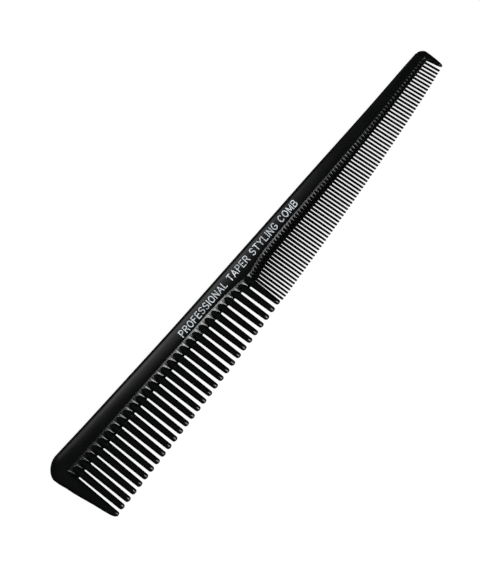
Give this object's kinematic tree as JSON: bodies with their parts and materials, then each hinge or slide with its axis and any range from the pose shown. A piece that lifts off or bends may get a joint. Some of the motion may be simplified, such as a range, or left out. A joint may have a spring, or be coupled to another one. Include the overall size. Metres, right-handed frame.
{
  "type": "barber taper comb",
  "caption": "Flat one-piece taper comb with coarse teeth on one half, fine teeth on the other, a guard tooth at each end and a stamped line on its spine.",
  "frame": {"origin": "centre of the comb's bounding box, on the parting plane of the moulding", "axes": "+X along the comb from the coarse end to the fine end, +Y from the teeth to the back of the spine, +Z out of the stamped face"},
  "size_m": [0.19, 0.0288, 0.0038],
  "materials": {
    "black_plastic": "polished black moulded plastic with a soft gloss and fine handling marks",
    "white_foil": "white hot-stamped foil, satin, slightly worn"
  },
  "bodies": {
    "root": {"comb_body": "black_plastic", "stamped_print": "white_foil"}
  },
  "joints": []
}
